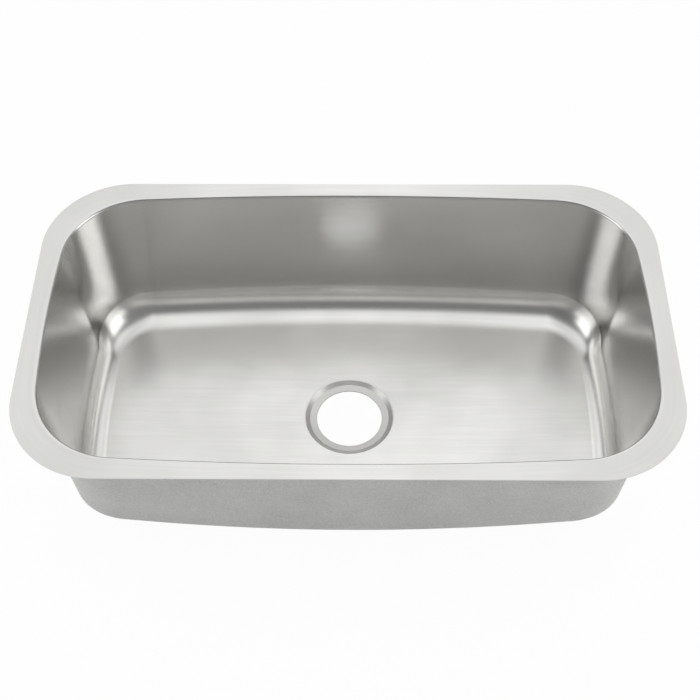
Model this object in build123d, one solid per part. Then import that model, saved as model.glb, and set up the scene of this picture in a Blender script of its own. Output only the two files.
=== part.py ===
from build123d import *
from dataclasses import dataclass
import math
import os

# Undermount kitchen sink: one drawn steel bowl, its sprayed outer coat and two rubber sound dampers.
# Sizes are in millimetres. X runs along the sink, Y from front to back, Z up.
# The origin lies under the middle of the drain, at the lowest point of the sink.

# Flange
overall_length = 800.0
overall_width = 457.2
overall_height = 228.6
flange_corner_radius = 110.8

# Sheet and its bends; each bend radius is the one on the inside of the bend
sheet = 1.2
flange_bend_radius = 3.3
floor_bend_radius = 45.0
recess_rim_bend_radius = 2.8
recess_foot_bend_radius = 2.5

# Opening at the top of the walls, before the flange bend is rounded
end_flange_width = 24.5
side_flange_width = 21.7
opening_corner_radius = 103.2
opening_end_bow_radius = 1491.0
opening_side_bow_radius = 5046.0

# Foot of the walls, before the floor bend is rounded
end_wall_taper = 20.8
side_wall_taper = 14.3
foot_corner_radius = 60.0
foot_end_bow_radius = 1011.0
foot_side_bow_radius = 3033.0

# Floor and drain
floor_fall = 7.0
drain_hole_diameter = 90.0
drain_ledge_width = 9.5
drain_recess_run = 6.0
drain_recess_depth = 5.9

# Sprayed coat on the outside, kept off the flange and the drain
coat = 1.0
coat_film = 0.1
coat_top_margin = 12.0
coat_drain_margin = 12.0

# Rubber sound dampers bonded on the coat under the floor
damper_thickness = 2.5
damper_film = 0.1
damper_corner_radius = 14.0
damper_drain_margin = 18.0
damper_end_margin = 34.0
damper_side_margin = 32.0


@dataclass(frozen=True)
class Outline:
    """Rounded rectangle whose four sides bow outwards."""

    half_length: float
    half_width: float
    corner_radius: float
    end_bow_radius: float
    side_bow_radius: float

    def grown(self, amount):
        """The parallel outline that lies an amount further out."""
        return Outline(
            self.half_length + amount,
            self.half_width + amount,
            self.corner_radius + amount,
            self.end_bow_radius + amount,
            self.side_bow_radius + amount,
        )

    def blended(self, other, share):
        """The outline a share of the way from this one to the other."""
        return Outline(
            self.half_length + share * (other.half_length - self.half_length),
            self.half_width + share * (other.half_width - self.half_width),
            self.corner_radius + share * (other.corner_radius - self.corner_radius),
            self.end_bow_radius + share * (other.end_bow_radius - self.end_bow_radius),
            self.side_bow_radius + share * (other.side_bow_radius - self.side_bow_radius),
        )

    def end_centre(self):
        """Centre of the bow of the end at +X."""
        return Vector(self.half_length - self.end_bow_radius, 0)

    def side_centre(self):
        """Centre of the bow of the side at +Y."""
        return Vector(0, self.half_width - self.side_bow_radius)

    def corner_centre(self):
        """Centre of the corner arc that runs smoothly into the end's bow and the side's bow."""
        end_reach = self.end_bow_radius - self.corner_radius
        side_reach = self.side_bow_radius - self.corner_radius
        across = self.side_centre() - self.end_centre()
        along = (end_reach**2 - side_reach**2 + across.length**2) / (2 * across.length)
        off_line = math.sqrt(end_reach**2 - along**2)
        unit = across.normalized()
        return self.end_centre() + unit * along + Vector(-unit.Y, unit.X) * off_line

    def directions(self):
        """Sixteen outward directions: the middles and the joints of the eight arcs, in turn."""
        corner = self.corner_centre()
        end_joint = (corner - self.end_centre()).normalized()
        side_joint = (corner - self.side_centre()).normalized()
        corner_middle = (end_joint + side_joint).normalized()
        return mirrored_ring(Vector(1, 0), end_joint, corner_middle, side_joint, Vector(0, 1))

    def points(self):
        """Sixteen points of the outline: the middles and the joints of the eight arcs, in turn."""
        corner = self.corner_centre()
        end_joint = (corner - self.end_centre()).normalized()
        side_joint = (corner - self.side_centre()).normalized()
        corner_middle = (end_joint + side_joint).normalized()
        return mirrored_ring(
            Vector(self.half_length, 0),
            corner + end_joint * self.corner_radius,
            corner + corner_middle * self.corner_radius,
            corner + side_joint * self.corner_radius,
            Vector(0, self.half_width),
        )


def mirrored_ring(end_middle, end_joint, corner_middle, side_joint, side_middle):
    """Full turn of sixteen points from the five of one quarter."""
    quarter = [end_middle, end_joint, corner_middle, side_joint, side_middle]
    back_half = quarter + [Vector(-p.X, p.Y) for p in quarter[-2::-1]]
    return back_half + [Vector(p.X, -p.Y) for p in back_half[-2:0:-1]]


def arc_face(points, height):
    """Flat face at a height, bounded by eight arcs through a ring of sixteen points."""
    raised = [Vector(p.X, p.Y, height) for p in points]
    following = raised[1:] + raised[:1]
    arcs = [ThreePointArc(raised[i - 1], raised[i], following[i]) for i in range(0, len(raised), 2)]
    return Face(Wire(arcs))


def edges_at(body, height):
    """Edges of a body that lie level at a height."""
    reach = sheet / 100
    level = body.edges().filter_by(lambda edge: edge.bounding_box().size.Z < reach)
    return level.filter_by_position(Axis.Z, height - reach, height + reach)


def opening_edges(body, height):
    """Edges round the opening in the flange's flat face at a height."""
    reach = sheet / 100
    level = body.faces().filter_by(Plane.XY).filter_by_position(Axis.Z, height - reach, height + reach)
    flange_face = level.sort_by(SortBy.AREA)[-1]
    return flange_face.inner_wires()[0].edges()


# Heights and outlines that follow from the sizes
drain_ledge_height = sheet
recess_rim_height = drain_ledge_height + drain_recess_depth
wall_foot_height = recess_rim_height + floor_fall
drain_hole_radius = drain_hole_diameter / 2
recess_foot_radius = drain_hole_radius + drain_ledge_width
recess_rim_radius = recess_foot_radius + drain_recess_run
recess_slope = math.atan2(drain_recess_depth, drain_recess_run)

opening = Outline(
    overall_length / 2 - end_flange_width,
    overall_width / 2 - side_flange_width,
    opening_corner_radius,
    opening_end_bow_radius,
    opening_side_bow_radius,
)
wall_foot = Outline(
    opening.half_length - end_wall_taper,
    opening.half_width - side_wall_taper,
    foot_corner_radius,
    foot_end_bow_radius,
    foot_side_bow_radius,
)


def wall_outline(height, grow):
    """Outline of the walls at a height, grown outwards by a thickness."""
    share = (height - wall_foot_height) / (overall_height - wall_foot_height)
    return wall_foot.blended(opening, share).grown(grow)


def well(grow):
    """Solid that fills the bowl down to its floor, grown outwards by a thickness."""
    foot_height = wall_foot_height - grow
    foot = wall_outline(foot_height, grow)
    rim_radius = recess_rim_radius + grow * math.tan(recess_slope / 2)
    rim_points = [direction * rim_radius for direction in foot.directions()]
    opening_face = arc_face(wall_outline(overall_height, grow).points(), overall_height)
    foot_face = arc_face(foot.points(), foot_height)
    rim_face = arc_face(rim_points, recess_rim_height - grow)
    body = loft([opening_face, foot_face], ruled=True) + loft([foot_face, rim_face], ruled=True)
    return fillet(edges_at(body, foot_height), floor_bend_radius + grow)


def drained_well(grow):
    """The well with the drain recess below it, grown outwards by a thickness."""
    spread = grow * math.tan(recess_slope / 2)
    rim_height = recess_rim_height - grow
    foot_height = drain_ledge_height - grow
    recess = Pos(0, 0, foot_height) * Cone(
        recess_foot_radius + spread,
        recess_rim_radius + spread,
        drain_recess_depth,
        align=(Align.CENTER, Align.CENTER, Align.MIN),
    )
    body = well(grow) + recess
    body = fillet(edges_at(body, rim_height), recess_rim_bend_radius + sheet - grow)
    return fillet(edges_at(body, foot_height), recess_foot_bend_radius + grow)


def drain_cylinder(radius):
    """Upright cylinder on the drain's axis, longer than the sink is high."""
    return Cylinder(radius, 2 * overall_height)


def make_sink_bowl():
    """One drawn sheet: flange, walls, floor, drain recess and drain hole."""
    flange_underside = overall_height - sheet
    flange = Pos(0, 0, flange_underside) * extrude(
        RectangleRounded(overall_length, overall_width, flange_corner_radius), sheet
    )
    outside = flange + drained_well(sheet)
    outside = outside.fillet(flange_bend_radius, opening_edges(outside, flange_underside))
    bowl = outside - drained_well(0) - drain_cylinder(drain_hole_radius)
    return bowl.fillet(flange_bend_radius + sheet, opening_edges(bowl, overall_height))


def make_undercoat():
    """Sprayed skin on the outside of the walls and floor, short of the flange and the drain."""
    inner = sheet + coat_film
    skin = well(inner + coat) - well(inner)
    coat_top = overall_height - sheet - coat_top_margin
    above = Pos(0, 0, coat_top) * Box(
        overall_length, overall_width, overall_height, align=(Align.CENTER, Align.CENTER, Align.MIN)
    )
    return skin - above - drain_cylinder(recess_rim_radius + coat_drain_margin)


def make_right_sound_damper():
    """Rubber slab under the floor, right of the drain."""
    near = recess_rim_radius + coat_drain_margin + damper_drain_margin
    far = wall_foot.half_length - floor_bend_radius - damper_end_margin
    half_width = wall_foot.half_width - floor_bend_radius - damper_side_margin
    footprint = Pos((near + far) / 2, 0, 0) * RectangleRounded(
        far - near, 2 * half_width, damper_corner_radius
    )
    inner = sheet + coat_film + coat + damper_film
    layer = well(inner + damper_thickness) - well(inner)
    return layer & extrude(footprint, overall_height / 2, both=True)


right_sound_damper = make_right_sound_damper()
nodes = {
    "sink_bowl": make_sink_bowl(),
    "undercoat": make_undercoat(),
    "left_sound_damper": mirror(right_sound_damper, about=Plane.YZ),
    "right_sound_damper": right_sound_damper,
}

os.makedirs("parts", exist_ok=True)
for name, solid in nodes.items():
    solid.label = name
    export_step(solid, f"parts/{name}.step")
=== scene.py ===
"""Looks of an undermount kitchen sink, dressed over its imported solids.

The drawn bowl and its sprayed coat are modelled again as smooth meshes on the sizes of the solids.
The two sound dampers keep their solids and get a rubber finish. Lengths are in metres.
"""

import cmath
import logging
import math
from dataclasses import dataclass, field
from enum import Enum

import bmesh
import bpy
from mathutils import Matrix, Vector


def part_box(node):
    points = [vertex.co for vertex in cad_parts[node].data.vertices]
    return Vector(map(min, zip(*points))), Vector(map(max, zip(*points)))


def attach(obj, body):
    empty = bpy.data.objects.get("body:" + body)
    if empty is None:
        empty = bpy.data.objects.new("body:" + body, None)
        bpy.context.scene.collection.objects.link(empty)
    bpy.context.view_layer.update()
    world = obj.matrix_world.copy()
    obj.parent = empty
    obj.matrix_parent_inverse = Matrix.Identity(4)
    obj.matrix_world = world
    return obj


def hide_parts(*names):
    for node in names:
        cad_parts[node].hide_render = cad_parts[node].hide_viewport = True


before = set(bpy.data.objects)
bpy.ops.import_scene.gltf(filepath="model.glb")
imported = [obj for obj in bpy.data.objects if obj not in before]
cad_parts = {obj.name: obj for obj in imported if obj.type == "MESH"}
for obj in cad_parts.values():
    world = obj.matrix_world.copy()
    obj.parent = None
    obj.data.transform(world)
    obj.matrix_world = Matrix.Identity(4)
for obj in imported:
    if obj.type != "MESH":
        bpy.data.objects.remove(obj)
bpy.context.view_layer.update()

MM = 0.001
BODY = "root"

log = logging.getLogger("sink")

Point = tuple[float, float, float]
TurnStep = tuple[float, float, float]
Colour = tuple[float, float, float, float]
Feed = bpy.types.NodeSocket | float | tuple

WHITE: Colour = (1.0, 1.0, 1.0, 1.0)


class Region(Enum):
    """Stretches of the bowl's section, from the flange's edge in to the drain hole."""

    FLANGE = "flange"
    FLANGE_BEND = "flange_bend"
    WALL = "wall"
    FLOOR_BEND = "floor_bend"
    FLOOR = "floor"
    RECESS_RIM = "recess_rim"
    RECESS = "recess"


class Mark(Enum):
    """Values stored on the bowl's vertices, which tell the finish how the steel was brushed."""

    ACROSS_GRAIN = "across_grain"
    GRAIN_PLACE = "grain_place"
    FLOOR_SHARE = "floor_share"


class Effect(Enum):
    """Surface effects that several finishes share."""

    BRUSH_LINES = "brush_lines"
    SOFT_PATCHES = "soft_patches"
    FINE_GRAIN = "fine_grain"


@dataclass(frozen=True)
class Spot:
    """Point of an outline with its outward direction, both as complex numbers in the XY plane."""

    place: complex
    outward: complex

    def mirrored_x(self) -> "Spot":
        """The spot on the other side of the YZ plane."""
        return Spot(-self.place.conjugate(), -self.outward.conjugate())

    def mirrored_y(self) -> "Spot":
        """The spot on the other side of the XZ plane."""
        return Spot(self.place.conjugate(), self.outward.conjugate())


@dataclass(frozen=True)
class ColumnSteps:
    """How finely a quarter of the bowl is divided into upright columns."""

    half_end: int = 10
    corner: int = 44
    half_side: int = 20


@dataclass(frozen=True)
class Outline:
    """Rounded rectangle whose four sides bow outwards."""

    half_length: float
    half_width: float
    corner_radius: float
    end_bow_radius: float
    side_bow_radius: float

    def ring(self, steps: ColumnSteps) -> list[Spot]:
        """Spots all round the outline, from the middle of the end at +X.

        Args:
            steps: how many steps each stretch of a quarter turn has.

        Returns:
            One spot for each column, anticlockwise.
        """
        end_centre = complex(self.half_length - self.end_bow_radius, 0)
        side_centre = complex(0, self.half_width - self.side_bow_radius)
        corner = self._corner_centre(end_centre, side_centre)
        end_turn = cmath.phase(corner - end_centre)
        side_turn = cmath.phase(corner - side_centre)
        quarter = (
            arc_spots(end_centre, self.end_bow_radius, 0, end_turn, steps.half_end)
            + arc_spots(corner, self.corner_radius, end_turn, side_turn, steps.corner)
            + arc_spots(side_centre, self.side_bow_radius, side_turn, math.pi / 2, steps.half_side)
            + [Spot(complex(0, self.half_width), 1j)]
        )
        back_left = [spot.mirrored_x() for spot in reversed(quarter)]
        back_half = quarter[:-1] + back_left
        front_half = [spot.mirrored_y() for spot in reversed(back_half)]
        return back_half[:-1] + front_half[:-1]

    def _corner_centre(self, end_centre: complex, side_centre: complex) -> complex:
        """Centre of the corner arc that runs smoothly into both bows.

        Args:
            end_centre: centre of the end's bow.
            side_centre: centre of the side's bow.

        Returns:
            The corner's centre.
        """
        end_reach = self.end_bow_radius - self.corner_radius
        side_reach = self.side_bow_radius - self.corner_radius
        across = side_centre - end_centre
        span = abs(across)
        on_line = (end_reach**2 - side_reach**2 + span**2) / (2 * span)
        off_line = math.sqrt(end_reach**2 - on_line**2)
        return end_centre + across / span * complex(on_line, off_line)


def arc_spots(centre: complex, radius: float, start: float, stop: float, steps: int) -> list[Spot]:
    """Spots along an arc, without its last point.

    Args:
        centre: the arc's centre.
        radius: its radius.
        start: the first direction in radians.
        stop: the direction where the next arc begins.
        steps: how many spots to make.

    Returns:
        The spots in order.
    """
    turns = [start + (stop - start) * i / steps for i in range(steps)]
    return [Spot(centre + cmath.rect(radius, turn), cmath.rect(1, turn)) for turn in turns]


@dataclass(frozen=True)
class BowlSizes:
    """Sizes of the drawn bowl; heights are above the underside of the drain's rim."""

    length: float
    width: float
    height: float
    sheet: float = 1.2 * MM
    flange_corner_radius: float = 110.8 * MM
    flange_bend_radius: float = 4.5 * MM
    end_flange_width: float = 24.5 * MM
    side_flange_width: float = 21.7 * MM
    opening_corner_radius: float = 103.2 * MM
    opening_end_bow_radius: float = 1491.0 * MM
    opening_side_bow_radius: float = 5046.0 * MM
    end_wall_taper: float = 20.8 * MM
    side_wall_taper: float = 14.3 * MM
    foot_corner_radius: float = 60.0 * MM
    foot_end_bow_radius: float = 1011.0 * MM
    foot_side_bow_radius: float = 3033.0 * MM
    foot_height: float = 14.1 * MM
    end_bend_run: float = 25.0 * MM
    side_bend_run: float = 41.0 * MM
    floor_corner_radius: float = 55.0 * MM
    floor_edge_height: float = 13.1 * MM
    floor_corner_lift: float = 5.0 * MM
    end_crease_height: float = 38.0 * MM
    side_crease_height: float = 52.5 * MM
    corner_crease_height: float = 48.0 * MM
    crease_width: float = 0.6 * MM
    end_bend_easing: float = 1.15
    side_bend_easing: float = 1.0
    corner_bend_easing: float = 1.6
    drain_pull: float = 0.65
    recess_rim_radius: float = 60.5 * MM
    recess_rim_height: float = 7.1 * MM
    recess_rim_bend_radius: float = 4.0 * MM
    recess_foot_radius: float = 54.5 * MM
    recess_foot_bend_radius: float = 2.5 * MM
    drain_hole_radius: float = 45.0 * MM
    ledge_dish: float = 1.3 * MM
    straight_bow_radius: float = 1.0e4

    @property
    def flange_edge(self) -> Outline:
        """Outer edge of the flange, with straight sides.

        Returns:
            The outline.
        """
        return Outline(
            self.length / 2,
            self.width / 2,
            self.flange_corner_radius,
            self.straight_bow_radius,
            self.straight_bow_radius,
        )

    @property
    def opening(self) -> Outline:
        """Where the walls would meet the flange without a bend.

        Returns:
            The outline.
        """
        return Outline(
            self.length / 2 - self.end_flange_width,
            self.width / 2 - self.side_flange_width,
            self.opening_corner_radius,
            self.opening_end_bow_radius,
            self.opening_side_bow_radius,
        )

    @property
    def wall_foot(self) -> Outline:
        """Where the walls would meet the floor without a bend.

        Returns:
            The outline.
        """
        return Outline(
            self.opening.half_length - self.end_wall_taper,
            self.opening.half_width - self.side_wall_taper,
            self.foot_corner_radius,
            self.foot_end_bow_radius,
            self.foot_side_bow_radius,
        )

    @property
    def floor_edge(self) -> Outline:
        """Where the floor bend runs out into the floor.

        Returns:
            The outline.
        """
        foot = self.wall_foot
        return Outline(
            foot.half_length - self.end_bend_run,
            foot.half_width - self.side_bend_run,
            self.floor_corner_radius,
            foot.end_bow_radius - self.end_bend_run,
            foot.side_bow_radius - self.side_bend_run,
        )

    def floor_height(self, place: complex) -> float:
        """Height of the floor's edge, which rises a little towards the corners.

        Args:
            place: a point of the edge.

        Returns:
            The height there.
        """
        edge = self.floor_edge
        corner_share = (place.real * place.imag / (edge.half_length * edge.half_width)) ** 2
        return self.floor_edge_height + self.floor_corner_lift * corner_share

    def crease_height(self, outward: complex) -> float:
        """Height where the floor bend leaves the wall, by the way that the wall faces."""
        end, side = self.end_crease_height, self.side_crease_height
        return by_facing(outward, end, side, self.corner_crease_height)

    def bend_easing(self, outward: complex) -> float:
        """How late the floor bend turns, by the way that the wall faces; 1 is a plain arc."""
        end, side = self.end_bend_easing, self.side_bend_easing
        return by_facing(outward, end, side, self.corner_bend_easing)


def by_facing(outward: complex, end: float, side: float, corner: float) -> float:
    """A value that runs smoothly from the ends over the corners to the sides.

    Args:
        outward: the way that the wall faces.
        end: the value in the middle of an end.
        side: the value in the middle of a side.
        corner: the value half-way round a corner.

    Returns:
        The value for that way.
    """
    plain = end * outward.real**2 + side * outward.imag**2
    corner_share = (2 * outward.real * outward.imag) ** 2
    return plain + (corner - (end + side) / 2) * corner_share


@dataclass(frozen=True)
class Station:
    """Point of a column's section, with the way from the air side into the sheet."""

    region: Region
    place: complex
    height: float
    sheet_out: complex
    sheet_up: float

    def sunk(self, depth: float) -> Point:
        """The point a depth below the air side."""
        sunk_place = self.place + self.sheet_out * depth
        return (sunk_place.real, sunk_place.imag, self.height + self.sheet_up * depth)

    def toward(self, other: "Station", share: float, region: Region) -> "Station":
        """A station on the straight way to another one.

        Args:
            other: where the way ends.
            share: how far along it the new station is, from 0 to 1.
            region: the new station's region.

        Returns:
            The new station.
        """
        out = self.sheet_out + (other.sheet_out - self.sheet_out) * share
        up = self.sheet_up + (other.sheet_up - self.sheet_up) * share
        size = math.hypot(abs(out), up)
        place = self.place + (other.place - self.place) * share
        height = self.height + (other.height - self.height) * share
        return Station(region, place, height, out / size, up / size)


@dataclass(frozen=True)
class Bend:
    """Round bend of a section in one column."""

    region: Region
    centre: complex
    height: float
    radius: float
    outward: complex

    def stations(self, start: float, stop: float, steps: int) -> list[Station]:
        """Stations along the bend, both ends included.

        Args:
            start: the first slope in radians, 0 where level and a quarter turn where upright.
            stop: the last slope.
            steps: how many steps lie between them.

        Returns:
            The stations in order.
        """
        return [self.station(start + (stop - start) * share) for share in shares(steps)]

    def station(self, slope: float) -> Station:
        """The station where the bend has a slope.

        Args:
            slope: the slope in radians.

        Returns:
            The station.
        """
        out, up = self.outward * math.sin(slope), -math.cos(slope)
        place = self.centre + out * self.radius
        return Station(self.region, place, self.height + up * self.radius, out, up)


@dataclass(frozen=True)
class LateTurn:
    """Bend that keeps its first slope the longer, the higher its easing is, and ends at a slope."""

    stop: float
    easing: float
    steps: int
    tries: int = 40

    def fitted(self, reach: float, rise: float) -> list[TurnStep]:
        """The bend with the first slope that spans a reach and a rise.

        Args:
            reach: how far its start lies out from its end.
            rise: how far its start lies above its end.

        Returns:
            The slope, and the way out and up from the end, at every step from start to end.
        """
        shallow, steep = self.stop, math.pi
        for _ in range(self.tries):
            middle = (shallow + steep) / 2
            _, out, up = self._unit_steps(middle)[0]
            shallow, steep = (middle, steep) if up * reach < rise * out else (shallow, middle)
        made = self._unit_steps(shallow)
        scale = math.hypot(reach, rise) / math.hypot(made[0][1], made[0][2])
        return [(tilt, out * scale, up * scale) for tilt, out, up in made]

    def _unit_steps(self, start: float) -> list[TurnStep]:
        """The bend at the scale where each step is 1 long.

        Args:
            start: the first slope.

        Returns:
            The slope, and the way out and up from the end, at every step from start to end.
        """
        tilts = [start + (self.stop - start) * share**self.easing for share in shares(self.steps)]
        made = [(tilts[-1], 0.0, 0.0)]
        for upper, lower in zip(tilts[-2::-1], tilts[::-1]):
            middle = (upper + lower) / 2
            made.append((upper, made[-1][1] + math.cos(middle), made[-1][2] + math.sin(middle)))
        return made[::-1]


@dataclass(frozen=True)
class StationSteps:
    """How finely each stretch of the bowl's section is divided."""

    flange: int = 5
    flange_bend: int = 9
    wall: int = 14
    floor_bend: int = 20
    floor: int = 18
    recess_rim: int = 6
    recess_slope: int = 2
    recess_foot: int = 6
    ledge: int = 4


@dataclass(frozen=True)
class Grain:
    """How the brushing runs at one point: across it, where along it, and how far it is the floor's."""

    across: Point
    place: Point
    floor_share: float


@dataclass
class BowlForm:
    """The bowl's air side as a grid: stations along the section, columns all round."""

    sizes: BowlSizes
    columns: ColumnSteps = field(default_factory=ColumnSteps)
    steps: StationSteps = field(default_factory=StationSteps)
    crossing_steps: int = 3
    drain_ways: list[complex] = field(init=False)
    openings: list[Spot] = field(init=False)
    sections: list[list[Station]] = field(init=False)

    def __post_init__(self) -> None:
        """Works out the outlines and the section of every column once."""
        sizes = self.sizes
        edges = sizes.flange_edge.ring(self.columns)
        feet = sizes.wall_foot.ring(self.columns)
        floors = sizes.floor_edge.ring(self.columns)
        self.openings = sizes.opening.ring(self.columns)
        self.drain_ways = [self._drain_way(floor) for floor in floors]
        column_spots = zip(edges, self.openings, feet, floors, self.drain_ways)
        self.sections = [self._section(*spots) for spots in column_spots]

    def grains(self) -> list[list[Grain]]:
        """Works out how the whole bowl is brushed.

        Returns:
            The brushing at every station, one list for each column.
        """
        places = [spot.place for spot in self.openings]
        loop_runs = running_sum([abs(b - a) for a, b in zip(places, places[1:] + places[:1])])
        loop_radius = loop_runs[-1] / math.tau
        made = []
        for run, drain_way, section in zip(loop_runs, self.drain_ways, self.sections):
            loop_place = cmath.rect(loop_radius, run / loop_radius)
            made.append(self._column_grains(section, loop_place, drain_way))
        return made

    def _drain_way(self, floor: Spot) -> complex:
        """Where a column meets the drain's rim.

        Args:
            floor: the column's spot on the floor's edge.

        Returns:
            The direction from the drain's middle.
        """
        straight_on = floor.place / abs(floor.place)
        mixed = floor.outward + (straight_on - floor.outward) * self.sizes.drain_pull
        return mixed / abs(mixed)

    def _column_grains(
        self, section: list[Station], loop_place: complex, drain_way: complex
    ) -> list[Grain]:
        """The brushing along one column.

        Args:
            section: the column's stations.
            loop_place: the column's place on a circle as long as the opening.
            drain_way: the direction in which the column meets the drain.

        Returns:
            One entry for each station.
        """
        points = [Vector(station.sunk(0)) for station in section]
        runs = running_sum([(b - a).length for a, b in zip(points, points[1:])])
        wall_top = runs[[station.region for station in section].index(Region.WALL)]
        ring_place = drain_way * self.sizes.recess_rim_radius
        made = []
        for i, station in enumerate(section):
            down_section = (points[min(i + 1, len(points) - 1)] - points[max(i - 1, 0)]).normalized()
            along_floor = Vector((0, -math.copysign(1, drain_way.imag), 0))
            share = self._floor_share(section, i)
            across = down_section.lerp(along_floor, share).normalized()
            if station.region in (Region.FLOOR, Region.RECESS_RIM, Region.RECESS):
                place = (ring_place.real, ring_place.imag, -abs(station.place))
            else:
                place = (loop_place.real, loop_place.imag, runs[i] - wall_top)
            made.append(Grain(tuple(across), place, share))
        return made

    def _floor_share(self, section: list[Station], index: int) -> float:
        """How far the brushing at a station is the floor's.

        Args:
            section: the column's stations.
            index: which of them it is.

        Returns:
            The floor's share, from 0 to 1.
        """
        regions = [station.region for station in section]
        region = regions[index]
        if region is Region.FLOOR:
            return 1.0
        if region is Region.FLOOR_BEND:
            steps_left = regions.index(Region.FLOOR) - index
            return smooth(1 - (steps_left - 1) / self.crossing_steps)
        if region is Region.RECESS_RIM:
            steps_in = index - regions.index(Region.RECESS_RIM)
            return smooth(1 - steps_in / self.steps.recess_rim)
        return 0.0

    def _section(
        self, edge: Spot, opening: Spot, foot: Spot, floor: Spot, drain_way: complex
    ) -> list[Station]:
        """Lays out one column.

        Args:
            edge: the column's spot on the flange's edge.
            opening: its spot where the wall would meet the flange.
            foot: its spot where the wall would meet the floor.
            floor: its spot on the floor's edge.
            drain_way: the direction in which it meets the drain.

        Returns:
            The stations from the flange's edge to the drain hole.
        """
        steps = self.steps
        flange_bend = self._flange_bend(opening, foot)
        floor_bend = self._floor_bend(opening, foot, floor, drain_way)
        fall = floor_bend[-1].height - self.sizes.recess_rim_height
        floor_length = abs(floor.place - drain_way * self.sizes.recess_rim_radius)
        recess = self._recess(drain_way, math.atan2(fall, floor_length))
        flange_start = Station(Region.FLANGE, edge.place, self.sizes.height, 0, -1)
        flange = straight(flange_start, flange_bend[0], steps.flange, Region.FLANGE)
        wall = straight(flange_bend[-1], floor_bend[0], steps.wall, Region.WALL)
        wall_run = wall[0].height - wall[-1].height
        wall.insert(-1, wall[-1].toward(wall[0], self.sizes.crease_width / wall_run, Region.WALL))
        floor_run = straight(floor_bend[-1], recess[0], steps.floor, Region.FLOOR)
        runs = (flange, flange_bend, wall, floor_bend, floor_run)
        return [station for run in runs for station in run[:-1]] + recess

    def _draft(self, opening: Spot, foot: Spot) -> float:
        """The wall's lean from upright in radians."""
        rise = self.sizes.height - self.sizes.foot_height
        return math.atan2(along(opening.place - foot.place, foot.outward), rise)

    def _flange_bend(self, opening: Spot, foot: Spot) -> list[Station]:
        """The bend from the flange down into the wall.

        Args:
            opening: the column's spot where the wall would meet the flange.
            foot: its spot where the wall would meet the floor.

        Returns:
            The bend's stations.
        """
        turn = math.pi / 2 - self._draft(opening, foot)
        radius = self.sizes.flange_bend_radius
        centre = opening.place + opening.outward * radius * math.tan(turn / 2)
        bend = Bend(Region.FLANGE_BEND, centre, self.sizes.height - radius, -radius, opening.outward)
        return bend.stations(0, turn, self.steps.flange_bend)

    def _floor_bend(self, opening: Spot, foot: Spot, floor: Spot, drain_way: complex) -> list[Station]:
        """The bend from the wall into the sloped floor, with a faint crease where it leaves the wall.

        Args:
            opening: the column's spot where the wall would meet the flange.
            foot: its spot where the wall would meet the floor.
            floor: its spot on the floor's edge.
            drain_way: the direction in which it meets the drain.

        Returns:
            The bend's stations.
        """
        sizes = self.sizes
        floor_height = sizes.floor_height(floor.place)
        fall = floor_height - sizes.recess_rim_height
        run = along(floor.place - drain_way * sizes.recess_rim_radius, foot.outward)
        slope = math.atan2(fall, run)
        crease_height = sizes.crease_height(foot.outward)
        wall_share = (crease_height - sizes.foot_height) / (sizes.height - sizes.foot_height)
        wall_place = foot.place + (opening.place - foot.place) * wall_share
        reach = along(wall_place - floor.place, foot.outward)
        rise = crease_height - floor_height
        turn = LateTurn(slope, sizes.bend_easing(foot.outward), self.steps.floor_bend)
        stations = []
        for tilt, out, up in turn.fitted(reach, rise):
            way = foot.outward * math.sin(tilt)
            place, height = floor.place + foot.outward * out, floor_height + up
            stations.append(Station(Region.FLOOR_BEND, place, height, way, -math.cos(tilt)))
        crease_share = sizes.crease_width * self.steps.floor_bend / math.hypot(reach, rise)
        stations.insert(1, stations[0].toward(stations[1], crease_share, Region.FLOOR_BEND))
        return stations

    def _recess(self, outward: complex, floor_slope: float) -> list[Station]:
        """The drain recess: rim bend, slope, foot bend and dished ledge, in to the hole's edge.

        Args:
            outward: the direction from the drain's middle.
            floor_slope: the slope of the floor that comes in to the rim.

        Returns:
            The recess's stations.
        """
        sizes, steps = self.sizes, self.steps
        hole_height = sizes.sheet
        foot_height = hole_height + sizes.ledge_dish
        drop = sizes.recess_rim_height - foot_height
        steepness = math.atan2(drop, sizes.recess_rim_radius - sizes.recess_foot_radius)
        dish_slope = math.atan2(sizes.ledge_dish, sizes.recess_foot_radius - sizes.drain_hole_radius)
        rim_radius = sizes.recess_rim_bend_radius
        rim_tangent = rim_radius * math.tan((steepness - floor_slope) / 2)
        rim_start = sizes.recess_rim_radius + rim_tangent * math.cos(floor_slope)
        rim_top = sizes.recess_rim_height + rim_tangent * math.sin(floor_slope)
        rim_centre = outward * (rim_start + rim_radius * math.sin(floor_slope))
        rim_low = rim_top - rim_radius * math.cos(floor_slope)
        rim_bend = Bend(Region.RECESS_RIM, rim_centre, rim_low, -rim_radius, outward)
        rim = rim_bend.stations(floor_slope, steepness, steps.recess_rim)
        foot_radius = sizes.recess_foot_bend_radius
        foot_tangent = foot_radius * math.tan((steepness - dish_slope) / 2)
        foot_stop = sizes.recess_foot_radius - foot_tangent * math.cos(dish_slope)
        foot_low = foot_height - foot_tangent * math.sin(dish_slope)
        foot_centre = outward * (foot_stop - foot_radius * math.sin(dish_slope))
        foot_top = foot_low + foot_radius * math.cos(dish_slope)
        foot_bend = Bend(Region.RECESS, foot_centre, foot_top, foot_radius, outward)
        foot = foot_bend.stations(steepness, dish_slope, steps.recess_foot)
        hole_place = outward * sizes.drain_hole_radius
        hole = Station(Region.RECESS, hole_place, hole_height, foot[-1].sheet_out, foot[-1].sheet_up)
        slope = straight(rim[-1], foot[0], steps.recess_slope, Region.RECESS)
        return rim[:-1] + slope[:-1] + foot[:-1] + straight(foot[-1], hole, steps.ledge, Region.RECESS)


def along(way: complex, direction: complex) -> float:
    """How far a way goes along a direction."""
    return way.real * direction.real + way.imag * direction.imag


def shares(steps: int) -> list[float]:
    """Even shares from 0 to 1."""
    return [i / steps for i in range(steps + 1)]


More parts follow.
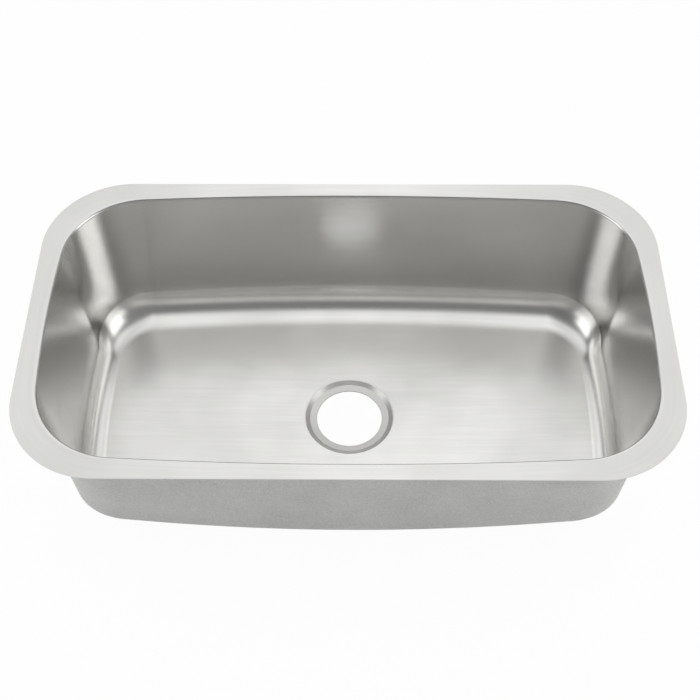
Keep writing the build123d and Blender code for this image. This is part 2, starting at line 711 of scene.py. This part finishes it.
def smooth(share: float) -> float:
    """A share held between 0 and 1 and eased at both ends."""
    held = min(max(share, 0.0), 1.0)
    return held * held * (3 - 2 * held)


def running_sum(lengths: list[float]) -> list[float]:
    """Adds up lengths one after the other.

    Args:
        lengths: the lengths in order.

    Returns:
        Sums from 0 up to the whole, one more than there are lengths.
    """
    sums = [0.0]
    for length in lengths:
        sums.append(sums[-1] + length)
    return sums


def straight(start: Station, stop: Station, steps: int, region: Region) -> list[Station]:
    """Stations on a straight run between two, both included."""
    return [start.toward(stop, share, region) for share in shares(steps)]


@dataclass
class RingSkin:
    """Mesh made by laying a circle on a first ring and extruding it from ring to ring."""

    name: str
    rings: list[list[Point]]
    closed: bool = False
    skin: bpy.types.Object = field(init=False)
    layout: list[dict[int, int]] = field(init=False)

    def build(self) -> bpy.types.Object:
        """Makes the mesh.

        Returns:
            The object, with its faces pointing the way that Blender finds to be outwards.
        """
        bpy.ops.object.select_all(action="DESELECT")
        bpy.ops.mesh.primitive_circle_add(vertices=len(self.rings[0]), calc_uvs=False)
        self.skin = bpy.context.object
        self.skin.name = self.skin.data.name = self.name
        bpy.ops.object.mode_set(mode="EDIT")
        self.layout = [{i: i for i in range(len(self.rings[0]))}]
        self._place_last_ring()
        for _ in self.rings[1:]:
            bpy.ops.mesh.extrude_edges_move()
            self.layout.append(self._extruded_columns())
            self._place_last_ring()
        if self.closed:
            self._bridge_ends()
        bpy.ops.mesh.select_all(action="SELECT")
        bpy.ops.mesh.normals_make_consistent(inside=False)
        bpy.ops.object.mode_set(mode="OBJECT")
        return self.skin

    def _extruded_columns(self) -> dict[int, int]:
        """Finds the columns of the vertices that the last extrusion made.

        Returns:
            Each vertex's column by the vertex's index.
        """
        shape = bmesh.from_edit_mesh(self.skin.data)
        shape.verts.index_update()
        before = self.layout[-1]
        found = {}
        for vertex in (v for v in shape.verts if v.select):
            neighbours = (edge.other_vert(vertex).index for edge in vertex.link_edges)
            found[vertex.index] = next(before[i] for i in neighbours if i in before)
        return found

    def _place_last_ring(self) -> None:
        """Moves the vertices of the newest ring to their places."""
        shape = bmesh.from_edit_mesh(self.skin.data)
        shape.verts.ensure_lookup_table()
        ring = self.rings[len(self.layout) - 1]
        for index, column in self.layout[-1].items():
            shape.verts[index].co = ring[column]
        bmesh.update_edit_mesh(self.skin.data)

    def _bridge_ends(self) -> None:
        """Closes the skin between its last ring and its first."""
        bpy.ops.mesh.select_all(action="DESELECT")
        shape = bmesh.from_edit_mesh(self.skin.data)
        for edge in shape.edges:
            edge.select_set(edge.is_boundary)
        bmesh.update_edit_mesh(self.skin.data)
        bpy.ops.mesh.bridge_edge_loops()


def select_only(piece: bpy.types.Object) -> None:
    """Selects one piece and makes it the active object.

    Args:
        piece: the piece.
    """
    bpy.ops.object.select_all(action="DESELECT")
    piece.select_set(True)
    bpy.context.view_layer.objects.active = piece


def apply_modifier(piece: bpy.types.Object, kind: str, **settings: object) -> None:
    """Adds a modifier to a piece and applies it.

    Args:
        piece: the piece, which becomes the active object.
        kind: the modifier's type.
        settings: the modifier's own options by name.
    """
    select_only(piece)
    modifier = piece.modifiers.new(kind.lower(), kind)
    for name, value in settings.items():
        setattr(modifier, name, value)
    bpy.ops.object.modifier_apply(modifier=modifier.name)


def smooth_shade(piece: bpy.types.Object, angle: float) -> None:
    """Shades a piece smooth, led by its larger faces.

    Args:
        piece: the piece, which becomes the active object.
        angle: the angle between faces past which an edge stays sharp.
    """
    select_only(piece)
    bpy.ops.object.shade_smooth_by_angle(angle=angle)
    apply_modifier(piece, "WEIGHTED_NORMAL", keep_sharp=True)


@dataclass
class Wiring:
    """Adds nodes to one node tree and joins them."""

    tree: bpy.types.NodeTree

    def add(self, kind: str, feeds: dict[str, Feed] | None = None, **options: object) -> bpy.types.Node:
        """Adds a node.

        Args:
            kind: the node's type.
            feeds: what goes into its inputs by identifier or name: a value, or a socket to join.
            options: the node's own options by name.

        Returns:
            The node.
        """
        node = self.tree.nodes.new(kind)
        for name, value in options.items():
            setattr(node, name, value)
        for name, feed in (feeds or {}).items():
            self.feed(node, name, feed)
        return node

    def feed(self, node: bpy.types.Node, name: str, feed: Feed) -> None:
        """Sets one input of a node, or joins a socket to it.

        Args:
            node: the node.
            name: the input's identifier or name.
            feed: the value, or the socket to join.
        """
        sockets = {socket.identifier: socket for socket in node.inputs}
        socket = sockets.get(name) or node.inputs[name]
        if isinstance(feed, bpy.types.NodeSocket):
            self.tree.links.new(feed, socket)
        else:
            socket.default_value = feed

    def maths(self, operation: str, first: Feed, second: Feed = 0.0) -> bpy.types.NodeSocket:
        """Result of a Math node."""
        feeds = {"Value": first, "Value_001": second}
        return self.add("ShaderNodeMath", feeds, operation=operation).outputs["Value"]

    def blend(self, share: Feed, first: Feed, second: Feed) -> bpy.types.NodeSocket:
        """A value between two others."""
        feeds = {"Factor_Float": share, "A_Float": first, "B_Float": second}
        return self.add("ShaderNodeMix", feeds, data_type="FLOAT").outputs[0]

    def tint(self, share: Feed, first: Feed, second: Feed) -> bpy.types.NodeSocket:
        """A colour between two others.

        Args:
            share: how far it is the second one, from 0 to 1.
            first: one colour.
            second: the other.

        Returns:
            The colour's socket.
        """
        feeds = {"Factor_Float": share, "A_Color": first, "B_Color": second}
        node = self.add("ShaderNodeMix", feeds, data_type="RGBA")
        return next(socket for socket in node.outputs if socket.identifier == "Result_Color")

    def noise(self, place: Feed, scale: Feed, detail: float, rough: float = 0.5) -> bpy.types.NodeSocket:
        """Value of a Noise Texture node, about 0.5 in the middle."""
        feeds = {"Vector": place, "Scale": scale, "Detail": detail, "Roughness": rough}
        return self.add("ShaderNodeTexNoise", feeds).outputs["Fac"]

    def spread(self, value: Feed, low: float, high: float) -> bpy.types.NodeSocket:
        """A value stretched so that low becomes 0 and high becomes 1, held between them."""
        feeds = {"Value": value, "From Min": low, "From Max": high}
        return self.add("ShaderNodeMapRange", feeds).outputs["Result"]

    def mark(self, mark: Mark, output: str) -> bpy.types.NodeSocket:
        """A value that is stored on the piece's vertices."""
        return self.add("ShaderNodeAttribute", attribute_name=mark.value).outputs[output]

    def object_place(self) -> bpy.types.NodeSocket:
        """The point's place on the object."""
        return self.add("ShaderNodeTexCoord").outputs["Object"]

    def bump(self, height: Feed, strength: float, depth: float) -> bpy.types.NodeSocket:
        """Normal of a surface that follows a height."""
        feeds = {"Height": height, "Strength": strength, "Distance": depth}
        return self.add("ShaderNodeBump", feeds).outputs["Normal"]

    def effect(self, effect: Effect, **feeds: Feed) -> bpy.types.NodeSocket:
        """Result of a shared effect, which takes its inputs by name."""
        group = bpy.data.node_groups[effect.value]
        return self.add("ShaderNodeGroup", feeds, node_tree=group).outputs[0]


@dataclass(frozen=True)
class SharedEffects:
    """Builds the node groups that the finishes share."""

    fine_detail: float = 3.0
    fine_rough: float = 0.65
    broad_detail: float = 2.0
    patch_low: float = 0.35
    patch_high: float = 0.65

    def build(self) -> None:
        """Makes each group once."""
        self._brush_lines()
        self._soft_patches()
        self._fine_grain()

    def _group(
        self, effect: Effect, inputs: dict[str, str], output: str
    ) -> tuple[Wiring, bpy.types.Node]:
        """Starts a group.

        Args:
            effect: which effect it is.
            inputs: the type of each input socket by name.
            output: the name of its one output, a value.

        Returns:
            The group's wiring and its input node.
        """
        tree = bpy.data.node_groups.new(effect.value, "ShaderNodeTree")
        for name, kind in inputs.items():
            tree.interface.new_socket(name, in_out="INPUT", socket_type=kind)
        tree.interface.new_socket(output, in_out="OUTPUT", socket_type="NodeSocketFloat")
        wiring = Wiring(tree)
        return wiring, wiring.add("NodeGroupInput")

    def _brush_lines(self) -> None:
        """Long thin lines: the place runs along them in X and Y and across them in Z."""
        inputs = {"Place": "NodeSocketVector", "Length": "NodeSocketFloat", "Pitch": "NodeSocketFloat"}
        wiring, given = self._group(Effect.BRUSH_LINES, inputs, "Height")
        feeds = {"X": given.outputs["Length"], "Y": given.outputs["Length"], "Z": given.outputs["Pitch"]}
        stretch = wiring.add("ShaderNodeCombineXYZ", feeds).outputs["Vector"]
        feeds = {"Vector": given.outputs["Place"], "Vector_001": stretch}
        scaled = wiring.add("ShaderNodeVectorMath", feeds, operation="DIVIDE").outputs["Vector"]
        lines = wiring.noise(scaled, 1.0, self.fine_detail, self.fine_rough)
        wiring.add("NodeGroupOutput", {"Height": lines})

    def _soft_patches(self) -> None:
        """Broad soft patches, from 0 to 1."""
        inputs = {"Place": "NodeSocketVector", "Size": "NodeSocketFloat"}
        wiring, given = self._group(Effect.SOFT_PATCHES, inputs, "Patch")
        scale = wiring.maths("DIVIDE", 1.0, given.outputs["Size"])
        cloud = wiring.noise(given.outputs["Place"], scale, self.broad_detail)
        wiring.add("NodeGroupOutput", {"Patch": wiring.spread(cloud, self.patch_low, self.patch_high)})

    def _fine_grain(self) -> None:
        """Fine even grain with no direction, from 0 to 1."""
        inputs = {"Place": "NodeSocketVector", "Size": "NodeSocketFloat"}
        wiring, given = self._group(Effect.FINE_GRAIN, inputs, "Height")
        scale = wiring.maths("DIVIDE", 1.0, given.outputs["Size"])
        grain = wiring.noise(given.outputs["Place"], scale, self.fine_detail, self.fine_rough)
        wiring.add("NodeGroupOutput", {"Height": grain})


def new_material(name: str) -> tuple[bpy.types.Material, Wiring, bpy.types.Node]:
    """Starts a material.

    Args:
        name: its name.

    Returns:
        The material, its wiring and its Principled shader.
    """
    material = bpy.data.materials.new(name)
    material.use_nodes = True
    return material, Wiring(material.node_tree), material.node_tree.nodes["Principled BSDF"]


@dataclass(frozen=True)
class BrushedSteel:
    """Satin steel, brushed in lines round the walls and along the floor, with dark painted shade on the
    drain hole's cut face.
    """

    name: str = "brushed_steel"
    pale: Colour = (0.70, 0.695, 0.68, 1.0)
    dark: Colour = (0.63, 0.625, 0.61, 1.0)
    smoothest: float = 0.2
    roughest: float = 0.26
    anisotropy: float = 0.45
    line_length: float = 60 * MM
    line_pitch: float = 0.5 * MM
    streak_length: float = 240 * MM
    streak_pitch: float = 5 * MM
    streak_share: float = 0.5
    patch_size: float = 120 * MM
    patch_share: float = 0.25
    tone_low: float = 0.3
    tone_high: float = 0.7
    line_depth: float = 0.004 * MM
    line_strength: float = 0.05
    # Painted shade: dark grey on the drain hole's cut face, between these two distances from the drain's
    # middle.
    painted_shade_edge: Colour = (0.2, 0.2, 0.2, 1.0)
    painted_shade_inside: float = 45.2 * MM
    painted_shade_outside: float = 45.4 * MM
    pressed_roughness: float = 0.42
    pressed_inside: float = 58.0 * MM
    pressed_outside: float = 63.0 * MM

    def material(self) -> bpy.types.Material:
        """Makes the material, which reads the marks that the bowl stores on its vertices.

        Returns:
            The material.
        """
        material, wiring, shader = new_material(self.name)
        lines = self._lines(wiring, self.line_length, self.line_pitch)
        streaks = self._lines(wiring, self.streak_length, self.streak_pitch)
        patches = wiring.effect(Effect.SOFT_PATCHES, Place=wiring.object_place(), Size=self.patch_size)
        brushing = wiring.blend(self.streak_share, lines, streaks)
        mixed = wiring.blend(self.patch_share, brushing, patches)
        tone = wiring.spread(mixed, self.tone_low, self.tone_high)
        brushed = wiring.tint(tone, self.dark, self.pale)
        out = self._drain_distance(wiring)
        # Painted shade: the drain hole's cut face is darkened to dark grey in place of the brushed tone.
        painted_shade_share = wiring.spread(out, self.painted_shade_outside, self.painted_shade_inside)
        wiring.feed(shader, "Base Color", wiring.tint(painted_shade_share, brushed, self.painted_shade_edge))
        pressed_share = wiring.spread(out, self.pressed_outside, self.pressed_inside)
        roughness = wiring.blend(tone, self.roughest, self.smoothest)
        wiring.feed(shader, "Roughness", wiring.blend(pressed_share, roughness, self.pressed_roughness))
        wiring.feed(shader, "Metallic", 1.0)
        wiring.feed(shader, "Anisotropic", self.anisotropy)
        wiring.feed(shader, "Tangent", wiring.mark(Mark.ACROSS_GRAIN, "Vector"))
        wiring.feed(shader, "Normal", wiring.bump(lines, self.line_strength, self.line_depth))
        return material

    def _drain_distance(self, wiring: Wiring) -> bpy.types.NodeSocket:
        """Level distance from the middle of the drain hole.

        Args:
            wiring: the material's wiring.

        Returns:
            The distance's socket.
        """
        place = wiring.add("ShaderNodeSeparateXYZ", {"Vector": wiring.object_place()})
        feeds = {"X": place.outputs["X"], "Y": place.outputs["Y"]}
        level_place = wiring.add("ShaderNodeCombineXYZ", feeds).outputs["Vector"]
        length = wiring.add("ShaderNodeVectorMath", {"Vector": level_place}, operation="LENGTH")
        return length.outputs["Value"]

    def _lines(self, wiring: Wiring, length: float, pitch: float) -> bpy.types.NodeSocket:
        """Brush lines that follow the loop on the walls and run straight along the floor.

        Args:
            wiring: the material's wiring.
            length: how long a line is.
            pitch: how far the lines lie apart.

        Returns:
            The lines' height.
        """
        loop_place = wiring.mark(Mark.GRAIN_PLACE, "Vector")
        loop = wiring.effect(Effect.BRUSH_LINES, Place=loop_place, Length=length, Pitch=pitch)
        place = wiring.add("ShaderNodeSeparateXYZ", {"Vector": wiring.object_place()})
        feeds = {"X": place.outputs["X"], "Z": place.outputs["Y"]}
        floor_place = wiring.add("ShaderNodeCombineXYZ", feeds).outputs["Vector"]
        floor = wiring.effect(Effect.BRUSH_LINES, Place=floor_place, Length=length, Pitch=pitch)
        return wiring.blend(wiring.mark(Mark.FLOOR_SHARE, "Fac"), loop, floor)


@dataclass(frozen=True)
class SprayedCoat:
    """Matt grey coat with a fine sprayed grain."""

    name: str = "sprayed_coat"
    pale: Colour = (0.67, 0.68, 0.665, 1.0)
    dark: Colour = (0.48, 0.49, 0.475, 1.0)
    smoothest: float = 0.42
    roughest: float = 0.65
    grain_size: float = 2.4 * MM
    patch_size: float = 60 * MM
    grain_depth: float = 0.5 * MM
    grain_strength: float = 0.8
    grain_low: float = 0.3
    grain_high: float = 0.7
    patch_share: float = 0.2

    def material(self) -> bpy.types.Material:
        """Makes the material.

        Returns:
            The material.
        """
        material, wiring, shader = new_material(self.name)
        place = wiring.object_place()
        grain = wiring.effect(Effect.FINE_GRAIN, Place=place, Size=self.grain_size)
        patches = wiring.effect(Effect.SOFT_PATCHES, Place=place, Size=self.patch_size)
        grain_tone = wiring.spread(grain, self.grain_low, self.grain_high)
        tone = wiring.blend(self.patch_share, grain_tone, patches)
        wiring.feed(shader, "Base Color", wiring.tint(tone, self.dark, self.pale))
        wiring.feed(shader, "Roughness", wiring.blend(tone, self.roughest, self.smoothest))
        wiring.feed(shader, "Normal", wiring.bump(grain, self.grain_strength, self.grain_depth))
        return material


@dataclass(frozen=True)
class DamperRubber:
    """Dark moulded rubber with a dusty bloom."""

    name: str = "damper_rubber"
    dark: Colour = (0.028, 0.028, 0.03, 1.0)
    bloom: Colour = (0.07, 0.07, 0.072, 1.0)
    smoothest: float = 0.55
    roughest: float = 0.85
    grain_size: float = 1.1 * MM
    patch_size: float = 45 * MM
    grain_depth: float = 0.12 * MM
    grain_strength: float = 0.5

    def material(self) -> bpy.types.Material:
        """Makes the material.

        Returns:
            The material.
        """
        material, wiring, shader = new_material(self.name)
        place = wiring.object_place()
        grain = wiring.effect(Effect.FINE_GRAIN, Place=place, Size=self.grain_size)
        patches = wiring.effect(Effect.SOFT_PATCHES, Place=place, Size=self.patch_size)
        tone = wiring.maths("MULTIPLY", grain, patches)
        wiring.feed(shader, "Base Color", wiring.tint(tone, self.dark, self.bloom))
        wiring.feed(shader, "Roughness", wiring.blend(tone, self.smoothest, self.roughest))
        wiring.feed(shader, "Normal", wiring.bump(grain, self.grain_strength, self.grain_depth))
        return material


def declare(piece: bpy.types.Object, node: str, material: bpy.types.Material) -> None:
    """Gives a finished piece its finish, attaches it to the body and hides the solid that it stands for.

    Args:
        piece: the piece.
        node: the node that it stands for.
        material: its finish.
    """
    piece.data.materials.clear()
    piece.data.materials.append(material)
    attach(piece, BODY)
    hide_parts(node)


@dataclass
class SteelBowl:
    """The drawn bowl: one sheet with its flange, walls, floor, drain recess and drain hole."""

    form: BowlForm
    finish: BrushedSteel = field(default_factory=BrushedSteel)
    node: str = "sink_bowl"
    slot: str = "brushed_steel_sheet"
    cut_edge_round: float = 0.25 * MM
    cut_edge_steps: int = 2
    cut_edge_angle: float = math.radians(60)
    smooth_angle: float = math.radians(40)

    def build(self) -> bpy.types.Object:
        """Extrudes the air side, gives it the sheet's thickness and eases the cut edges.

        Returns:
            The bowl.
        """
        rings = [[station.sunk(0) for station in ring] for ring in zip(*self.form.sections)]
        skin = RingSkin("drawn_bowl", rings)
        bowl = skin.build()
        self._face_air_side(bowl)
        self._mark_grain(skin)
        apply_modifier(bowl, "SOLIDIFY", thickness=self.form.sizes.sheet, offset=-1, use_even_offset=True)
        apply_modifier(
            bowl,
            "BEVEL",
            width=self.cut_edge_round,
            segments=self.cut_edge_steps,
            limit_method="ANGLE",
            angle_limit=self.cut_edge_angle,
        )
        smooth_shade(bowl, self.smooth_angle)
        declare(bowl, self.node, self.finish.material())
        return bowl

    def _face_air_side(self, bowl: bpy.types.Object) -> None:
        """Turns all faces round if the flange's don't look up.

        Args:
            bowl: the air side.
        """
        if bowl.data.polygons[0].normal.z < 0:
            bpy.ops.object.mode_set(mode="EDIT")
            bpy.ops.mesh.select_all(action="SELECT")
            bpy.ops.mesh.flip_normals()
            bpy.ops.object.mode_set(mode="OBJECT")

    def _mark_grain(self, skin: RingSkin) -> None:
        """Stores the brushing on every vertex, one kind of value after the other.

        Args:
            skin: the air side, with the ring and column of each vertex.
        """
        grains = self.form.grains()
        by_vertex = {
            index: grains[column][ring]
            for ring, columns in enumerate(skin.layout)
            for index, column in columns.items()
        }
        ordered = [by_vertex[index] for index in range(len(by_vertex))]
        across = [value for grain in ordered for value in grain.across]
        places = [value for grain in ordered for value in grain.place]
        self._store(skin.skin, Mark.ACROSS_GRAIN, "FLOAT_VECTOR", across)
        self._store(skin.skin, Mark.GRAIN_PLACE, "FLOAT_VECTOR", places)
        self._store(skin.skin, Mark.FLOOR_SHARE, "FLOAT", [grain.floor_share for grain in ordered])

    def _store(self, bowl: bpy.types.Object, mark: Mark, kind: str, values: list[float]) -> None:
        """Stores one kind of value on the bowl's vertices."""
        attribute = bowl.data.attributes.new(mark.value, kind, "POINT")
        attribute.data.foreach_set("vector" if kind == "FLOAT_VECTOR" else "value", values)


@dataclass
class Undercoat:
    """The sprayed coat on the outside of the walls and floor, thinned out towards its edges."""

    form: BowlForm
    finish: SprayedCoat = field(default_factory=SprayedCoat)
    node: str = "undercoat"
    slot: str = "sprayed_coat"
    film: float = 0.1 * MM
    coat: float = 1.0 * MM
    top_margin: float = 12.0 * MM
    drain_margin: float = 12.0 * MM
    feather: float = 4.0 * MM
    feather_steps: int = 4
    smooth_angle: float = math.radians(40)

    def build(self) -> bpy.types.Object:
        """Extrudes the coat's outer face downwards and its inner face back up, and joins them.

        Returns:
            The coat.
        """
        columns = [self._clipped(section) for section in self.form.sections]
        stations = list(zip(*columns))
        inner_depth = self.form.sizes.sheet + self.film
        outer_rings = []
        for i, ring in enumerate(stations):
            rows_in = min(i, len(stations) - 1 - i)
            fullness = math.sin(min((rows_in + 1) / self.feather_steps, 1.0) * math.pi / 2)
            outer_rings.append([station.sunk(inner_depth + self.coat * fullness) for station in ring])
        inner_rings = [[station.sunk(inner_depth) for station in ring] for ring in stations]
        coat = RingSkin("sprayed_undercoat", outer_rings + inner_rings[::-1], closed=True).build()
        smooth_shade(coat, self.smooth_angle)
        declare(coat, self.node, self.finish.material())
        return coat

    def _clipped(self, section: list[Station]) -> list[Station]:
        """The stations that the coat covers, with close ones along both of its edges.

        Args:
            section: all stations of one column.

        Returns:
            The stations from the coat's top edge to its edge round the drain.
        """
        sizes = self.form.sizes
        walls = [station for station in section if station.region is Region.WALL]
        bends = [station for station in section if station.region is Region.FLOOR_BEND]
        floors = [station for station in section if station.region is Region.FLOOR]
        top_height = sizes.height - sizes.sheet - self.top_margin
        wall_start, wall_stop = walls[0], bends[0]
        wall_run = wall_start.height - wall_stop.height
        top_share = (wall_start.height - top_height) / wall_run
        floor_start, floor_stop = floors[0], floors[-1]
        clear_radius = sizes.recess_rim_radius + self.drain_margin
        floor_run = abs(floor_start.place - floor_stop.place)
        stop_share = 1 - (clear_radius - abs(floor_stop.place)) / floor_run
        feathers = [share * self.feather for share in shares(self.feather_steps)]
        wall_shares = [top_share + run / wall_run for run in feathers]
        wall_shares += spaced(wall_shares[-1], 1.0, len(walls))[1:-1]
        floor_shares = [stop_share - run / floor_run for run in reversed(feathers)]
        floor_shares = spaced(0.0, floor_shares[0], len(floors))[:-1] + floor_shares
        upper = [wall_start.toward(wall_stop, share, Region.WALL) for share in wall_shares]
        lower = [floor_start.toward(floor_stop, share, Region.FLOOR) for share in floor_shares]
        return upper + bends + lower


def spaced(start: float, stop: float, steps: int) -> list[float]:
    """Even values from start to stop, both included."""
    return [start + (stop - start) * share for share in shares(steps)]


@dataclass
class SoundDampers:
    """The two rubber slabs under the floor, which keep their solids."""

    finish: DamperRubber = field(default_factory=DamperRubber)
    nodes: tuple[str, str] = ("left_sound_damper", "right_sound_damper")

    def dress(self) -> list[bpy.types.Object]:
        """Gives both slabs the rubber finish.

        Returns:
            The slabs.
        """
        rubber = self.finish.material()
        slabs = [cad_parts[name] for name in self.nodes]
        for slab in slabs:
            slab.data.materials.clear()
            slab.data.materials.append(rubber)
        return slabs


@dataclass(frozen=True)
class Softbox:
    """Area lamp that faces the sink; in degrees, azimuth 0 is behind the sink and 90 at its right."""

    name: str
    azimuth: float
    elevation: float
    width: float
    height: float
    radiance: float
    distance: float = 2.2

    def build(self, target: Vector) -> None:
        """Hangs the lamp.

        Args:
            target: the point that it faces.
        """
        turn, rise = math.radians(self.azimuth), math.radians(self.elevation)
        away = Vector((math.sin(turn) * math.cos(rise), math.cos(turn) * math.cos(rise), math.sin(rise)))
        light = bpy.data.lights.new(self.name, "AREA")
        light.shape = "RECTANGLE"
        light.size, light.size_y = self.width, self.height
        light.energy = self.radiance * math.pi * self.width * self.height
        lamp = bpy.data.objects.new(self.name, light)
        lamp.location = target + away * self.distance
        lamp.rotation_euler = away.to_track_quat("Z", "Y").to_euler()
        lamp.visible_camera = False
        bpy.context.scene.collection.objects.link(lamp)


@dataclass(frozen=True)
class PhotoCamera:
    """Camera at the photograph's viewing angle; angles are in degrees."""

    place: Point = (0.0163, -0.9254, 1.4393)
    pitch: float = 54.06
    yaw: float = -0.899
    roll: float = -0.551
    lens: float = 63.154
    clip_end: float = 100.0

    def build(self) -> None:
        """Makes the camera and the scene's view settings."""
        data = bpy.data.cameras.new("photo_camera")
        data.lens = self.lens
        data.clip_end = self.clip_end
        camera = bpy.data.objects.new("photo_camera", data)
        turn = Matrix.Rotation(math.radians(-self.yaw), 4, "Z")
        tip = Matrix.Rotation(math.radians(90 - self.pitch), 4, "X")
        roll = Matrix.Rotation(math.radians(self.roll), 4, "Z")
        camera.matrix_world = Matrix.Translation(self.place) @ turn @ tip @ roll
        bpy.context.scene.collection.objects.link(camera)
        bpy.context.scene.camera = camera
        bpy.context.scene.view_settings.view_transform = "Standard"


@dataclass(frozen=True)
class Ceiling:
    """The room's bright ceiling.

    Its gap and sides are placed by how far a direction points to the side, from 0 to 1. Its front is
    placed by the angle over the sink, from 0 behind it to half a turn in front of it.
    """

    middle_tone: float = 1.32
    gap_tone: float = 0.95
    side_tone: float = 1.2
    gap_from: float = 0.25
    gap_to: float = 0.28
    side_from: float = 0.36
    front_full: float = math.radians(114)
    front_none: float = math.radians(132)
    side_full: float = 0.58
    side_none: float = 0.74
    front_taper: float = 1.15

    def share(self, wiring: Wiring, direction: bpy.types.Node) -> bpy.types.NodeSocket:
        """How far a direction meets the ceiling, which runs from behind the sink to a little in front.

        Args:
            wiring: the room's wiring.
            direction: the node that gives the direction's X, Y and Z.

        Returns:
            The share, from 0 to 1.
        """
        ways = direction.outputs
        over = wiring.maths("ARCTAN2", ways["Z"], ways["Y"])
        lengthwise = wiring.spread(over, self.front_none, self.front_full)
        forward = wiring.maths("MAXIMUM", wiring.maths("MULTIPLY", ways["Y"], -self.front_taper), 0.0)
        aside = wiring.maths("ADD", wiring.maths("ABSOLUTE", ways["X"]), forward)
        crosswise = wiring.spread(aside, self.side_none, self.side_full)
        return wiring.maths("MULTIPLY", lengthwise, crosswise)

    def tone(self, wiring: Wiring, direction: bpy.types.Node) -> bpy.types.NodeSocket:
        """Tone of the ceiling: bright in the middle, dimmer in a gap beside it, bright again outside.

        Args:
            wiring: the room's wiring.
            direction: the node that gives the direction's X, Y and Z.

        Returns:
            The tone.
        """
        off_middle = wiring.maths("ABSOLUTE", direction.outputs["X"])
        gap_share = wiring.spread(off_middle, 0.0, self.gap_from)
        inner_tone = wiring.blend(gap_share, self.middle_tone, self.gap_tone)
        side_share = wiring.spread(off_middle, self.gap_to, self.side_from)
        return wiring.blend(side_share, inner_tone, self.side_tone)


@dataclass(frozen=True)
class Studio:
    """Plain pale floor, side lamps, and a dim room with a bright ceiling and a pale horizon."""

    floor_size: float = 40.0
    floor_colour: Colour = (0.9, 0.9, 0.9, 1.0)
    floor_glow: float = 0.96
    mirrored_floor_glow: float = 0.65
    ceiling: Ceiling = Ceiling()
    left_room_tone: float = 0.16
    right_room_tone: float = 0.32
    backdrop_tone: float = 1.0
    horizon_tone: float = 0.9
    horizon_rise: float = math.radians(15)
    lamps: tuple[Softbox, ...] = (
        Softbox("left_softbox", azimuth=-101, elevation=35, width=1.1, height=0.75, radiance=1.95),
        Softbox("left_fill", azimuth=-110, elevation=18, width=1.5, height=0.75, radiance=1.5),
        Softbox("right_softbox", azimuth=101, elevation=35, width=1.1, height=0.75, radiance=1.95),
        Softbox("right_fill", azimuth=110, elevation=18, width=1.5, height=0.75, radiance=1.5),
    )

    def build(self, target: Vector) -> None:
        """Lays the floor, lights the room and hangs the lamps.

        Args:
            target: the point that the lamps face.
        """
        self._lay_floor()
        self._light_room()
        for lamp in self.lamps:
            lamp.build(target)

    def _lay_floor(self) -> None:
        """A wide floor that looks white and still takes the sink's shadow."""
        bpy.ops.object.select_all(action="DESELECT")
        bpy.ops.mesh.primitive_plane_add(size=self.floor_size)
        floor = bpy.context.object
        floor.name = "studio_floor"
        material, wiring, shader = new_material("studio_floor")
        wiring.feed(shader, "Base Color", self.floor_colour)
        wiring.feed(shader, "Roughness", 1.0)
        wiring.feed(shader, "Specular IOR Level", 0.0)
        path = wiring.add("ShaderNodeLightPath").outputs
        seen = wiring.maths("MAXIMUM", path["Is Camera Ray"], path["Is Transmission Ray"])
        seen_share = wiring.maths("MULTIPLY", seen, self.floor_glow)
        mirrored_share = wiring.maths("MULTIPLY", path["Is Glossy Ray"], self.mirrored_floor_glow)
        share = wiring.maths("MAXIMUM", seen_share, mirrored_share)
        glow = wiring.add("ShaderNodeEmission").outputs["Emission"]
        feeds = {"Fac": share, "Shader": shader.outputs["BSDF"], "Shader_001": glow}
        mixed = wiring.add("ShaderNodeMixShader", feeds).outputs["Shader"]
        wiring.feed(material.node_tree.nodes["Material Output"], "Surface", mixed)
        floor.data.materials.append(material)

    def _light_room(self) -> None:
        """A dim room, a little lighter at the right, with its ceiling and a pale band at the horizon."""
        world = bpy.data.worlds.new("studio_room")
        world.use_nodes = True
        wiring = Wiring(world.node_tree)
        given = wiring.add("ShaderNodeTexCoord").outputs["Generated"]
        direction = wiring.add("ShaderNodeSeparateXYZ", {"Vector": given})
        right_share = wiring.spread(direction.outputs["X"], -1.0, 1.0)
        walls = wiring.blend(right_share, self.left_room_tone, self.right_room_tone)
        ceiling_share = self.ceiling.share(wiring, direction)
        tone = wiring.blend(ceiling_share, walls, self.ceiling.tone(wiring, direction))
        low_share = wiring.spread(direction.outputs["Z"], math.sin(self.horizon_rise), 0.0)
        lit = wiring.blend(low_share, tone, self.horizon_tone)
        seen = wiring.add("ShaderNodeLightPath").outputs["Is Camera Ray"]
        backdrop = world.node_tree.nodes["Background"]
        wiring.feed(backdrop, "Color", WHITE)
        wiring.feed(backdrop, "Strength", wiring.blend(seen, lit, self.backdrop_tone))
        bpy.context.scene.world = world


def main() -> None:
    """Builds the sink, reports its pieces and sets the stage."""
    logging.basicConfig(level=logging.INFO, format="%(name)s: %(message)s")
    low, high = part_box("sink_bowl")
    form = BowlForm(BowlSizes(high.x - low.x, high.y - low.y, high.z - low.z))
    SharedEffects().build()
    pieces = [SteelBowl(form).build(), Undercoat(form).build(), *SoundDampers().dress()]
    for piece in pieces:
        log.info("%s: %d faces", piece.name, len(piece.data.polygons))
    PhotoCamera().build()
    Studio().build((low + high) / 2)


if __name__ == "__main__":
    main()
